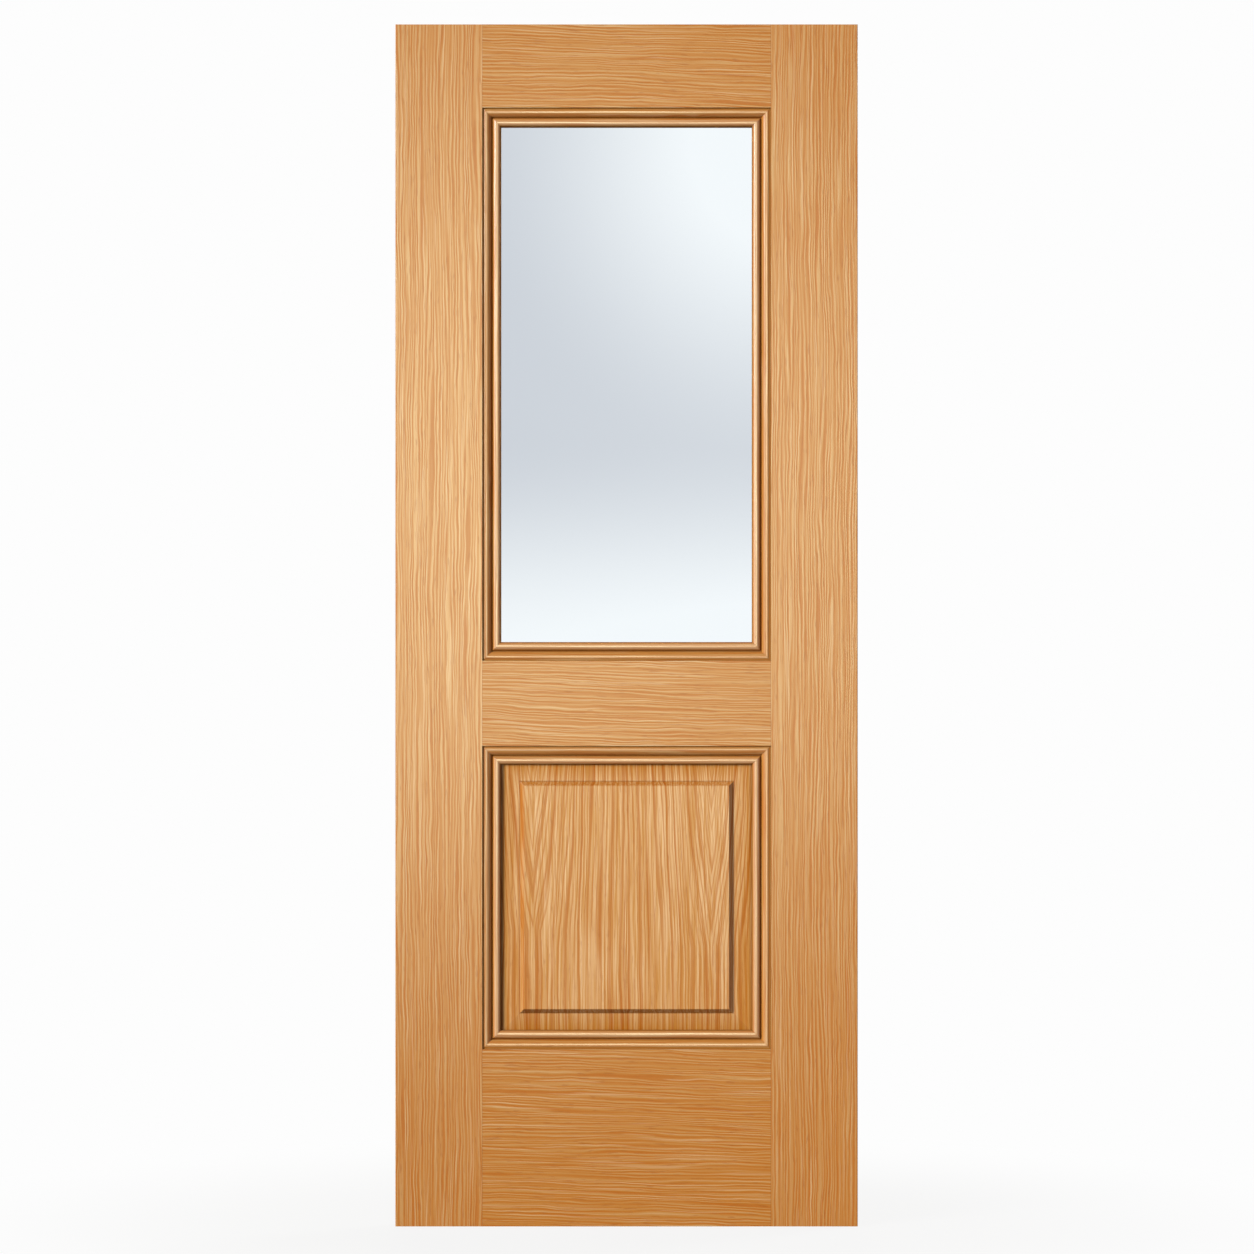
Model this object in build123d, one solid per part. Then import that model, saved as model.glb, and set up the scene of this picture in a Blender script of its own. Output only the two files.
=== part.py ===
"""Part-glazed oak interior door leaf with a raised and fielded lower panel.

The leaf is framed as a joiner would frame it: two full-height stiles with a top, a middle
and a deep bottom rail butted between them. Stiles and rails are engineered members, a core
between two oak face veneers, and the stiles carry an oak lipping on their outer edge. The
upper opening holds a pane of clear glass and the lower one a raised panel. Both are held
between mitred run mouldings, one set planted on the front and one on the back.

Frame: millimetres, the front faces -Y, +Z is up. X runs from the hinge edge of the leaf
at x = 0, Y from the middle of the leaf's thickness and Z from the bottom edge at z = 0.
"""

import os
from math import copysign, sqrt

from build123d import *

# Leaf
leaf_width = 762.0
leaf_height = 1981.0
leaf_thickness = 35.0
edge_radius = 1.2

# Stiles and rails
stile_width = 143.0
top_rail_width = 137.0
middle_rail_width = 140.0
bottom_rail_width = 292.0
lower_opening_height = 500.0
veneer_thickness = 0.6
lipping_thickness = 8.0

# Glass
glass_thickness = 4.0
glass_edge_clearance = 2.0

# Raised panel
panel_edge_clearance = 1.0
panel_margin_thickness = 12.0
field_side_inset = 69.0
field_end_inset = 66.0
field_rise = 6.0
field_bevel_width = 7.4
field_rim_radius = 0.5

# Run moulding, widths across its face and depths below the face of the leaf
quirk_width = 2.8
quirk_depth = 3.0
roll_width = 3.4
roll_depth = 1.8
ovolo_width = 9.4
groove_width = 1.4
groove_depth = 9.0
bead_width = 14.0
bead_rise = 5.6

# Places worked out from the sizes above
face = leaf_thickness / 2
moulding_width = quirk_width + roll_width + ovolo_width + groove_width + bead_width
opening_left = stile_width
opening_right = leaf_width - stile_width
opening_width = opening_right - opening_left
lower_opening_bottom = bottom_rail_width
lower_opening_top = lower_opening_bottom + lower_opening_height
upper_opening_bottom = lower_opening_top + middle_rail_width
upper_opening_top = leaf_height - top_rail_width


def block(x_span, y_span, z_span):
    """A box between two corners, given as a span along each axis."""
    size = [high - low for low, high in (x_span, y_span, z_span)]
    corner = (x_span[0], y_span[0], z_span[0])
    return Pos(*corner) * Box(*size, align=(Align.MIN, Align.MIN, Align.MIN))


def layers(blank, x_span, z_span):
    """A member sliced through its thickness into a core and two face veneers."""
    glue_line = face - veneer_thickness
    return {
        "front_veneer": blank & block(x_span, (-face, -glue_line), z_span),
        "core": blank & block(x_span, (-glue_line, glue_line), z_span),
        "back_veneer": blank & block(x_span, (glue_line, face), z_span),
    }


def named_layers(name, sliced):
    """The three layers of a member under the names of their nodes."""
    return {
        f"{name}_core": sliced["core"],
        f"front_{name}_veneer": sliced["front_veneer"],
        f"back_{name}_veneer": sliced["back_veneer"],
    }


def stile(name, outer_x, inner_x):
    """A full-height stile with eased outer arrises and a lipping along its outer edge."""
    x_span = tuple(sorted((outer_x, inner_x)))
    z_span = (0, leaf_height)
    blank = block(x_span, (-face, face), z_span)
    outer_arrises = [edge for edge in blank.edges().filter_by(Axis.Z)
                     if abs(edge.center().X - outer_x) < edge_radius]
    blank = fillet(outer_arrises, edge_radius)

    pieces = named_layers(name, layers(blank, x_span, z_span))
    core = pieces[f"{name}_core"]
    inward = 1 if inner_x > outer_x else -1
    lipping_span = tuple(sorted((outer_x, outer_x + inward * lipping_thickness)))
    lipping_zone = block(lipping_span, (-face, face), z_span)
    pieces[f"{name}_core"] = core - lipping_zone
    pieces[f"{name}_lipping"] = core & lipping_zone
    return pieces


def rail(name, bottom, top):
    """A rail butted between the stiles."""
    x_span = (opening_left, opening_right)
    z_span = (bottom, top)
    blank = block(x_span, (-face, face), z_span)
    return named_layers(name, layers(blank, x_span, z_span))


def level_arc(level_end, other_end):
    """An arc of a section that lies level at its first end."""
    run = other_end[0] - level_end[0]
    climb = other_end[1] - level_end[1]
    radius = (run ** 2 + climb ** 2) / (2 * abs(climb))
    sag = radius - sqrt(radius ** 2 - (run / 2) ** 2)
    middle = (level_end[0] + run / 2, level_end[1] + copysign(sag, climb))
    return ThreePointArc(level_end, middle, other_end)


def moulding_section(seat_depth):
    """Outline of the run moulding: X across its face from the opening's edge, Y from the face.

    From the outer edge inward: a quirk beside the stile, a low roll, an ovolo falling into
    a groove, and a round bead standing beside the glass or the panel.
    """
    roll_x = quirk_width + roll_width
    groove_x = roll_x + ovolo_width
    bead_x = groove_x + groove_width
    bead_top = groove_depth - bead_rise
    quirk_foot = (quirk_width, quirk_depth)
    roll_crest = (roll_x, roll_depth)
    ovolo_foot = (groove_x, groove_depth)
    bead_foot = (bead_x, groove_depth)
    bead_crest = (bead_x + bead_width / 2, bead_top)
    inner_edge = (moulding_width, groove_depth)
    outline = [
        Line((0, quirk_depth), quirk_foot),
        level_arc(roll_crest, quirk_foot),
        level_arc(roll_crest, ovolo_foot),
        Line(ovolo_foot, bead_foot),
        ThreePointArc(bead_foot, bead_crest, inner_edge),
        Line(inner_edge, (moulding_width, seat_depth)),
        Line((moulding_width, seat_depth), (0, seat_depth)),
        Line((0, seat_depth), (0, quirk_depth)),
    ]
    return make_face(outline)


def mitred_length(seat_depth, length):
    """One front moulding along +Z from the origin, mitred at both ends, inward along +X."""
    bar = Pos(0, -face, 0) * extrude(moulding_section(seat_depth), length, dir=(0, 0, 1))
    mitres = Polyline(
        (0, 0),
        (moulding_width, moulding_width),
        (moulding_width, length - moulding_width),
        (0, length),
        close=True,
    )
    wedge = extrude(Plane.XZ * make_face(mitres), face, dir=(0, -1, 0))
    return bar & wedge


def moulding_set(name, bottom, top, seat_depth):
    """The eight mouldings that hold the glass or the panel, four on each face."""
    height = top - bottom
    runs = {
        "left": (opening_left, bottom, 0, height),
        "top": (opening_left, top, 90, opening_width),
        "right": (opening_right, top, 180, height),
        "bottom": (opening_right, bottom, 270, opening_width),
    }
    pieces = {}
    for side, (x, z, turn, length) in runs.items():
        front = Pos(x, 0, z) * Rot(0, turn, 0) * mitred_length(seat_depth, length)
        pieces[f"front_{name}_{side}"] = front
        pieces[f"back_{name}_{side}"] = mirror(front, about=Plane.XZ)
    return pieces


def glass_pane():
    """The clear pane, centred in the thickness of the leaf."""
    x_span = (opening_left + glass_edge_clearance, opening_right - glass_edge_clearance)
    y_span = (-glass_thickness / 2, glass_thickness / 2)
    z_span = (upper_opening_bottom + glass_edge_clearance, upper_opening_top - glass_edge_clearance)
    return block(x_span, y_span, z_span)


def panel_section(size, field_inset):
    """Section through the panel: a flat margin, a bevel and a raised field on both faces."""
    half = size / 2 - panel_edge_clearance
    rim = size / 2 - field_inset
    foot = rim + field_bevel_width
    margin = panel_margin_thickness / 2
    field = margin + field_rise
    outline = []
    for side in (-1, 1):
        for face_side in (-1, 1):
            edge_corner = (side * half, face_side * margin)
            bevel_foot = (side * foot, face_side * margin)
            field_rim = (side * rim, face_side * field)
            outline.append(Line(edge_corner, bevel_foot))
            outline.append(Line(bevel_foot, field_rim))
        outline.append(Line((side * half, -margin), (side * half, margin)))
        outline.append(Line((-rim, side * field), (rim, side * field)))
    section = make_face(outline)
    rims = [corner for corner in section.vertices() if abs(corner.Y) > (margin + field) / 2]
    return fillet(rims, field_rim_radius)


def raised_panel():
    """The raised and fielded panel, shaped by the meeting of two sections at right angles."""
    across = panel_section(opening_width, field_side_inset)
    along = panel_section(lower_opening_height, field_end_inset)
    upright_run = extrude(across, lower_opening_height / 2, both=True)
    level_run = Rot(0, 90, 0) * extrude(along, opening_width / 2, both=True)
    centre_x = (opening_left + opening_right) / 2
    centre_z = (lower_opening_bottom + lower_opening_top) / 2
    return Pos(centre_x, 0, centre_z) * (upright_run & level_run)


def door_leaf():
    """Every piece of the leaf under the name of its node."""
    pieces = {}
    pieces.update(stile("left_stile", 0, opening_left))
    pieces.update(stile("right_stile", leaf_width, opening_right))
    pieces.update(rail("top_rail", upper_opening_top, leaf_height))
    pieces.update(rail("middle_rail", lower_opening_top, upper_opening_bottom))
    pieces.update(rail("bottom_rail", 0, lower_opening_bottom))
    pieces["glass_pane"] = glass_pane()
    pieces["raised_panel"] = raised_panel()
    glass_seat = face - glass_thickness / 2
    panel_seat = face - panel_margin_thickness / 2
    pieces.update(moulding_set("glass_bead", upper_opening_bottom, upper_opening_top, glass_seat))
    pieces.update(moulding_set("panel_mould", lower_opening_bottom, lower_opening_top, panel_seat))
    return pieces


os.makedirs("parts", exist_ok=True)
for node, shape in door_leaf().items():
    export_step(shape, f"parts/{node}.step")
    print(node, len(shape.solids()), round(shape.volume / 1000, 1), "cm3")
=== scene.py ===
# %% [markdown]
# # Dressing a part-glazed oak door leaf
#
# The leaf arrives as a fixed frame of solids: stiles, rails, face veneers, mouldings, a pane
# of glass and a raised panel, all at their real size in metres. This lesson gives each of
# them the finish of the real thing: oak veneer and run oak mouldings under satin lacquer, a
# laminated softwood core that shows only on the edges, and clear float glass. Then it sets up
# a plain studio with a long lens, a key lamp that rakes the leaf from the left, a weaker lamp
# from above and a soft box that only the lacquer mirrors.

# %% Load the frame
import math

import bpy
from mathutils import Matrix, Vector


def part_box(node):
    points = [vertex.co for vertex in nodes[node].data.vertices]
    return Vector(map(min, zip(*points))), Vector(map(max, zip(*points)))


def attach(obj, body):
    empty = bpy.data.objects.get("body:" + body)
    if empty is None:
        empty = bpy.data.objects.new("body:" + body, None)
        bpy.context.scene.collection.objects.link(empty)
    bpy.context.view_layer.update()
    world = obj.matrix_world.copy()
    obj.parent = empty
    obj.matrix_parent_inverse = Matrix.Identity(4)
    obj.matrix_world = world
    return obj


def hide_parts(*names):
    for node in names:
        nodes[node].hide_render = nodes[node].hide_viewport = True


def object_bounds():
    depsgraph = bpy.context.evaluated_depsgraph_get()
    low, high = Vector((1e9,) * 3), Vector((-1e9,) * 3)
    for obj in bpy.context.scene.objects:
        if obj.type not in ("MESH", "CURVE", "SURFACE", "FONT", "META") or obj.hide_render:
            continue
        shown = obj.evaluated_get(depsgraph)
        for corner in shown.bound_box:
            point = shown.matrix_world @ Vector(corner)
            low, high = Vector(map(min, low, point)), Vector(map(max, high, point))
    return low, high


MM_PER_METRE = 1000.0

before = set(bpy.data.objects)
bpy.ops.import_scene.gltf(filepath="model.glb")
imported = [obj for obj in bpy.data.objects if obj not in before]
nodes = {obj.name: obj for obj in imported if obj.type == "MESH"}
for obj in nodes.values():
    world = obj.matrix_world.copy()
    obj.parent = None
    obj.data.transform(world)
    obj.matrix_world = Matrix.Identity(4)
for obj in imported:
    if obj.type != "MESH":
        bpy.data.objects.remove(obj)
cad_low, cad_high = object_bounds()
leaf_width = cad_high.x
leaf_face = cad_high.y
leaf_height = cad_high.z
width_mm = leaf_width * MM_PER_METRE
height_mm = leaf_height * MM_PER_METRE
print(f"leaf {width_mm:.0f} x {height_mm:.0f} mm, {len(nodes)} nodes")

# %% [markdown]
# ## The camera
#
# A catalogue picture of a door is taken straight on through a long lens, so that its edges
# stay parallel. The lens is worked out from how many millimetres one pixel of the square
# picture covers at the face of the leaf. A view camera with shift would also do, but the
# camera stands within 3 mm of the leaf's own middle, so there is nothing to shift. Distances
# are in metres, and the sensor is in millimetres.

# %% Camera
FRAME_PIXELS = 1254
MM_PER_PIXEL = 1.648
SENSOR_WIDTH = 36.0
CAMERA_DISTANCE = 7.5
CAMERA_ASIDE = 0.0007
CAMERA_DROP = 0.0026

picture_width = FRAME_PIXELS * MM_PER_PIXEL / MM_PER_METRE
camera_data = bpy.data.cameras.new("studio_camera")
camera_data.sensor_width = SENSOR_WIDTH
camera_data.lens = SENSOR_WIDTH * CAMERA_DISTANCE / picture_width
camera_data.clip_end = 100
camera = bpy.data.objects.new("studio_camera", camera_data)
bpy.context.scene.collection.objects.link(camera)
camera.location = (leaf_width / 2 + CAMERA_ASIDE,
                   -leaf_face - CAMERA_DISTANCE,
                   leaf_height / 2 - CAMERA_DROP)
camera.rotation_euler = (math.radians(90), 0, 0)
bpy.context.scene.camera = camera
print(f"lens {camera_data.lens:.0f} mm at {CAMERA_DISTANCE} m")

# %% [markdown]
# ## Colours and nodes
#
# Colours are written as sRGB hex, as a paint chart gives them, and one function turns them
# into the linear values that the shader wants. One more function adds a node with its
# settings and links, so that a material reads as a list of what feeds what. Both could be
# clicked together in the shader editor. In code they can be read from top to bottom. A Map
# Range node is given its value, the span that this comes from and the span that it goes to,
# which is 0 to 1 when none is given.

# %% Colour and node helpers
# Sockets of a Mix node that is set to colours: the share of the colour laid over, the colour
# under it, the colour over it, and the colour that comes out
SHARE = 0
UNDER = 6
OVER = 7
MIXED = 2


def linear(hex_code):
    """An sRGB hex colour as linear red, green, blue and alpha, by the standard's own curve."""
    channels = [int(hex_code[i:i + 2], 16) / 255 for i in (1, 3, 5)]
    straight = [c / 12.92 if c <= 0.04045 else ((c + 0.055) / 1.055) ** 2.4 for c in channels]
    return (*straight, 1.0)


def add(tree, kind, inputs=(), **settings):
    """Add a node with its settings. An input is a value, a socket, or a node to link from."""
    node = tree.nodes.new(f"ShaderNode{kind}")
    for name, value in settings.items():
        setattr(node, name, value)
    pairs = inputs.items() if isinstance(inputs, dict) else enumerate(inputs)
    for key, value in pairs:
        if isinstance(value, bpy.types.Node):
            value = value.outputs[0]
        if isinstance(value, bpy.types.NodeSocket):
            tree.links.new(value, node.inputs[key])
        else:
            node.inputs[key].default_value = value
    return node


def how_far(tree, value, place):
    """How far a value lies from a place, on either side of it."""
    gap = add(tree, "Math", (value, place), operation="SUBTRACT")
    return add(tree, "Math", (gap,), operation="ABSOLUTE")


def new_material(name):
    """An empty material with its node tree, its shader and its output."""
    material = bpy.data.materials.new(name)
    material.use_nodes = True
    tree = material.node_tree
    tree.nodes.clear()
    shader = add(tree, "BsdfPrincipled")
    output = add(tree, "OutputMaterial", {"Surface": shader})
    return material, tree, shader, output


def paint(thing, material):
    """Give an object one material."""
    thing.data.materials.clear()
    thing.data.materials.append(material)


# %% [markdown]
# ## How oak grain is drawn
#
# Every oak finish starts from a place in millimetres, turned so that its third number runs
# along the grain. Noise squeezed across the grain and stretched along it gives fibres, and
# noise that moves the place across gives the sway of a real board. An image of wood would be
# quicker, but it could not be sized to the millimetre or run round a moulding.

# %% Grain helpers


def board_place(tree, upright):
    """Where a point of a flat board lies: across, through and along the grain, in mm."""
    spot = add(tree, "TexCoord").outputs["Object"]
    place = add(tree, "VectorMath", {0: spot, "Scale": MM_PER_METRE}, operation="SCALE")
    if upright:
        return place
    axes = add(tree, "SeparateXYZ", (place,)).outputs
    return add(tree, "CombineXYZ", (axes["Z"], axes["Y"], axes["X"]))


def fibres(tree, place, seed, width, length, detail=1.0):
    """Noise whose marks are so many millimetres wide and long, around a middle of 0.5."""
    spot = add(tree, "Mapping", {"Vector": place, "Location": (seed, seed, seed),
                                 "Scale": (1 / width, 1 / width, 1 / length)})
    return add(tree, "TexNoise", {"Vector": spot, "Scale": 1.0, "Detail": detail})


def sway(tree, place, seed, amount, width, length):
    """The place moved to and fro across the grain by up to the amount, in mm."""
    push = fibres(tree, place, seed, width, length)
    shift = add(tree, "MapRange", (push, 0.0, 1.0, -amount, amount), clamp=False)
    return add(tree, "VectorMath", (place, add(tree, "CombineXYZ", (shift,))), operation="ADD")


# %% [markdown]
# ## Straight-grained oak
#
# The stiles and rails wear crown-free veneer. Its fibres show as fine lines under 6 mm apart
# that run on for the length of the board and wander a little, with brown pores and pale
# flecks of ray between them. Lines drawn by noise alone would fade out every few centimetres,
# so a sine wave draws them, and noise makes their spacing drift and their strength change.
# Real pores are finer than a pixel of this picture, so they are drawn 2 mm wide to show.
# Red hardly changes from a dark line to a pale one, while blue changes many times over,
# which is what makes oak look golden rather than striped.

# %% Fine lines
# How wide and long the noises behind the lines are, as shares of the lines' own spacing and
# length
DRIFT_WIDTH = 2.6
STRENGTH_WIDTH = 1.8
STRENGTH_LENGTH = 0.4

# The noise at which a line is at its faintest and at its boldest, and how faint it gets
LINE_FADE = (0.35, 0.62)
FAINTEST_LINE = 0.25


def fine_lines(tree, place, seed, apart, drift, length):
    """Lines from -1 to 1 a set distance apart, whose spacing and strength change as they run."""
    wander = fibres(tree, place, seed, apart * DRIFT_WIDTH, length)
    shift = add(tree, "Math", (wander, drift), operation="MULTIPLY")
    across = add(tree, "SeparateXYZ", (place,)).outputs["X"]
    turns = add(tree, "Math", (across, 1 / apart, shift), operation="MULTIPLY_ADD")
    angle = add(tree, "Math", (turns, 2 * math.pi), operation="MULTIPLY")
    wave = add(tree, "Math", (angle,), operation="SINE")
    strength = fibres(tree, place, seed + 0.5, apart * STRENGTH_WIDTH, length * STRENGTH_LENGTH)
    bold = add(tree, "MapRange", (strength, *LINE_FADE, FAINTEST_LINE, 1.0))
    return add(tree, "Math", (wave, bold), operation="MULTIPLY")


# %% Straight oak
OAK_DEEP = "#AA5F02"
OAK_MID = "#AD6B12"
OAK_PALE = "#B17A34"
THREAD_BROWN = "#96500A"
THREAD_CREAM = "#C59C6C"

# What each kind of mark adds to the figure, which runs round this middle
FIGURE_MIDDLE = 0.5
LINE_SHARE = 0.22
HAIR_SHARE = 0.26
BAND_SHARE = 0.04
CLOUD_SHARE = 0.08
FIGURE_BASE = FIGURE_MIDDLE - (HAIR_SHARE + BAND_SHARE + CLOUD_SHARE) / 2

# The figures at which the oak is at its deepest and its palest
DEEP_AT = 0.32
PALE_AT = 0.68

# The noise at which pores and flecks start and are full, how strongly they are coloured, and
# how far they sink or stand in the relief
PORE_FADE = (0.62, 0.70)
PORE_STRENGTH = 0.45
FLECK_FADE = (0.62, 0.68)
FLECK_STRENGTH = 0.5
MARK_RELIEF = 0.2


def oak_figure(tree, place, seed, swing=8.0, ripple=2.8):
    """The colour of straight oak at a place, and its fibre lines from dark to pale."""
    place = sway(tree, place, seed + 1, swing, width=90, length=420)
    place = sway(tree, place, seed + 2, ripple, width=16, length=60)
    lines = fine_lines(tree, place, seed + 3, apart=5.3, drift=3.0, length=380)
    hairs = fibres(tree, place, seed + 4, width=2.4, length=120)
    bands = fibres(tree, place, seed + 5, width=7, length=260)
    clouds = fibres(tree, place, seed + 6, width=22, length=600)
    figure = add(tree, "Math", (lines, LINE_SHARE, FIGURE_BASE), operation="MULTIPLY_ADD")
    figure = add(tree, "Math", (hairs, HAIR_SHARE, figure), operation="MULTIPLY_ADD")
    figure = add(tree, "Math", (bands, BAND_SHARE, figure), operation="MULTIPLY_ADD")
    figure = add(tree, "Math", (clouds, CLOUD_SHARE, figure), operation="MULTIPLY_ADD")
    tint = add(tree, "ValToRGB", (figure,))
    stops = tint.color_ramp.elements
    stops[0].position = DEEP_AT
    stops[0].color = linear(OAK_DEEP)
    stops[1].position = PALE_AT
    stops[1].color = linear(OAK_PALE)
    middle = stops.new(FIGURE_MIDDLE)
    middle.color = linear(OAK_MID)

    pores = fibres(tree, place, seed + 7, width=2.0, length=26)
    flecks = fibres(tree, place, seed + 8, width=2.0, length=200)
    dark = add(tree, "MapRange", (pores, *PORE_FADE, 0.0, PORE_STRENGTH))
    pale = add(tree, "MapRange", (flecks, *FLECK_FADE, 0.0, FLECK_STRENGTH))
    threaded = add(tree, "Mix", {SHARE: dark, UNDER: tint, OVER: linear(THREAD_BROWN)},
                   data_type="RGBA")
    flecked = add(tree, "Mix", {SHARE: pale, UNDER: threaded.outputs[MIXED],
                                OVER: linear(THREAD_CREAM)}, data_type="RGBA")
    raised = add(tree, "Math", (pale, MARK_RELIEF, figure), operation="MULTIPLY_ADD")
    relief = add(tree, "Math", (dark, -MARK_RELIEF, raised), operation="MULTIPLY_ADD")
    return flecked.outputs[MIXED], relief


# %% [markdown]
# ## Satin lacquer
#
# The real leaf has a clear satin lacquer over the oak. Its index is that of a clear coat,
# about 1.5, and a roughness near 0.3 gives the wide haze that pales the oak where the soft
# light in front is mirrored. The lacquer sinks a little into the open grain, so pale lines
# mirror more of that light than dark ones. The grain stands as a relief of a few hundredths
# of a millimetre, drawn about three times deeper here so that it shows from across a room.

# %% Lacquer
LACQUER_ROUGHNESS = 0.30
LACQUER_INDEX = 1.52

# The reliefs that mirror least and most, and by what share less or more than the sheen
SUNK = 0.34
PROUD = 0.66
SHEEN_SPREAD = 0.28


def lacquer(tree, shader, colour, relief, depth_mm=0.14, sheen=0.5, spread=SHEEN_SPREAD):
    """Join a colour and a relief to the shader under satin lacquer, duller in dark lines."""
    uneven = add(tree, "MapRange", (relief, SUNK, PROUD, 1 - spread, 1 + spread))
    mirrored = add(tree, "Math", (uneven, sheen), operation="MULTIPLY")
    bump = add(tree, "Bump", {"Strength": 1.0, "Distance": depth_mm / MM_PER_METRE,
                              "Height": relief})
    tree.links.new(colour, shader.inputs["Base Color"])
    tree.links.new(mirrored.outputs[0], shader.inputs["Specular IOR Level"])
    tree.links.new(bump.outputs[0], shader.inputs["Normal"])
    shader.inputs["Roughness"].default_value = LACQUER_ROUGHNESS
    shader.inputs["IOR"].default_value = LACQUER_INDEX


def oak(name, upright, seed, **figure):
    """A lacquered board of straight oak."""
    material, tree, shader, _ = new_material(name)
    colour, relief = oak_figure(tree, board_place(tree, upright), seed, **figure)
    lacquer(tree, shader, colour, relief)
    return material


stile_oak = oak("lacquered_oak_veneer_upright", upright=True, seed=3.1)
lipping_oak = oak("lacquered_oak_lipping", upright=True, seed=27.3, swing=4.0, ripple=2.0)
print("upright oak:", stile_oak.name, lipping_oak.name)

# %% [markdown]
# ## Rails and the glue line at their ends
#
# The rails are the same veneer laid level, with its grain a degree or two off level. Where
# the end of a rail meets a stile, the knife cut leaves a hairline of glue, and on the real
# leaf that is the only sign of the joint. A narrow gap in the mesh would show the same line,
# but a darker line in the finish is lighter.

# %% Rail oak
GLUE_BROWN = "#7A4415"
GLUE_WIDTH = 1.8
GLUE_STRENGTH = 0.45
RAIL_SLOPE = math.radians(1.7)
RAIL_SHEEN = 0.37

rail_low, rail_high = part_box("middle_rail_core")
joint_left = rail_low.x * MM_PER_METRE
joint_right = rail_high.x * MM_PER_METRE
joint_middle = (joint_left + joint_right) / 2
joint_reach = joint_right - joint_middle

rail_oak, rail_tree, rail_shader, _ = new_material("lacquered_oak_veneer_level")
rail_place = board_place(rail_tree, upright=False)
sloping = add(rail_tree, "Mapping", {"Vector": rail_place, "Rotation": (0.0, RAIL_SLOPE, 0.0)})
rail_colour, rail_relief = oak_figure(rail_tree, sloping, seed=8.4, swing=11.0, ripple=3.0)
along_rail = add(rail_tree, "SeparateXYZ", (rail_place,)).outputs["Z"]
from_middle = how_far(rail_tree, along_rail, joint_middle)
glue = add(rail_tree, "MapRange", (from_middle, joint_reach - GLUE_WIDTH, joint_reach,
                                   0.0, GLUE_STRENGTH))
glued = add(rail_tree, "Mix", {SHARE: glue, UNDER: rail_colour, OVER: linear(GLUE_BROWN)},
            data_type="RGBA")
lacquer(rail_tree, rail_shader, glued.outputs[MIXED], rail_relief, sheen=RAIL_SHEEN)
print(f"level oak: {rail_oak.name}, joints at {joint_left:.0f} and {joint_right:.0f} mm")

# %% [markdown]
# ## Oak for the mouldings
#
# The mouldings are run from solid oak, so the grain follows each length round the opening. A
# UV map called run, laid on further down, says how far a point is across and along its own
# moulding. The groove, the sight edge and, more faintly, the quirk are painted dark brown as
# painted shade, and no rubbing cloth reaches there, so the lacquer on those lines is dull.
# The crests of the roll and the bead are painted paler, partly as rubbed wear and partly as a
# painted highlight, and they are polished. Shadow alone would lose the dark lines in flat light.

# %% Moulding oak
# Places across a moulding, in millimetres from the edge of its opening
QUIRK_EDGE = 2.8
ROLL_CREST = 7.0
GROOVE_MIDDLE = 16.3
BEAD_CREST = 24.0

moulding_low, moulding_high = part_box("front_panel_mould_left")
sight_edge = (moulding_high.x - moulding_low.x) * MM_PER_METRE

moulding_oak, mould, mould_shader, _ = new_material("lacquered_oak_moulding")
run_axes = add(mould, "SeparateXYZ", (add(mould, "UVMap", uv_map="run"),)).outputs
depth = add(mould, "SeparateXYZ", (add(mould, "TexCoord").outputs["Object"],)).outputs["Y"]
run_place = add(mould, "CombineXYZ", (run_axes["X"], depth, run_axes["Y"]))
run_place = add(mould, "VectorMath", {0: run_place, "Scale": MM_PER_METRE}, operation="SCALE")
run_colour, run_relief = oak_figure(mould, run_place, seed=14.2, swing=2.5, ripple=1.4)
across_run = add(mould, "Math", (run_axes["X"], MM_PER_METRE), operation="MULTIPLY")
print(f"moulding {sight_edge:.0f} mm wide, groove at {GROOVE_MIDDLE} mm")

# %% Painted shade in the hollows
# Dark brown painted into the hollows as painted shade, and a little of it all over the moulding as
# its own tone
STAIN_AND_SHADE_BROWN = "#4A2206"
OVERALL_STAIN = 0.08
GROOVE_SHADE = 0.62
SIGHT_SHADE = 0.60
QUIRK_SHADE = 0.17

# Where each painted shade starts and where it is full, in millimetres
GROOVE_FADE = (1.7, 0.5)
SIGHT_FADE = (sight_edge - 2.4, sight_edge - 0.2)
QUIRK_FADE = (QUIRK_EDGE + 1.0, QUIRK_EDGE - 0.2)

# Painted shade in the groove, at the sight edge and in the quirk, where shade falls on the real
# leaf
from_groove = how_far(mould, across_run, GROOVE_MIDDLE)
groove_shade = add(mould, "MapRange", (from_groove, *GROOVE_FADE, 0.0, GROOVE_SHADE))
sight_shade = add(mould, "MapRange", (across_run, *SIGHT_FADE, 0.0, SIGHT_SHADE))
quirk_shade = add(mould, "MapRange", (across_run, *QUIRK_FADE, 0.0, QUIRK_SHADE))
painted_shade = add(mould, "Math", (groove_shade, sight_shade), operation="MAXIMUM")
painted_shade = add(mould, "Math", (painted_shade, quirk_shade), operation="MAXIMUM")
tone_and_shade_share = add(mould, "MapRange", (painted_shade, 0.0, 1.0, OVERALL_STAIN, 1.0))
toned_and_shaded_run = add(mould, "Mix", {SHARE: tone_and_shade_share, UNDER: run_colour,
                                 OVER: linear(STAIN_AND_SHADE_BROWN)}, data_type="RGBA")
print("stain:", STAIN_AND_SHADE_BROWN, "from", [round(start, 1) for start in SIGHT_FADE], "mm at the sight")

# %% Rubbed crests with painted highlight, and lacquer
RUB_AND_HIGHLIGHT_CREAM = "#E3C08F"

# The roll stands lower than the bead, so it counts as this much further from the cloth, and
# the depth of the grain's relief, both in millimetres
ROLL_SHORTFALL = 3.2
RUN_RELIEF = 0.10

# Where rubbing with its painted highlight, and polish, start and where they are full, in
# millimetres from a crest
RUB_AND_HIGHLIGHT_FADE = (6.5, 1.5)
POLISH_FADE = (5.2, 2.6)
LEAST_RUB_AND_HIGHLIGHT = 0.07
MOST_RUB_AND_HIGHLIGHT = 0.20
LEAST_POLISH = 0.42

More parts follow.
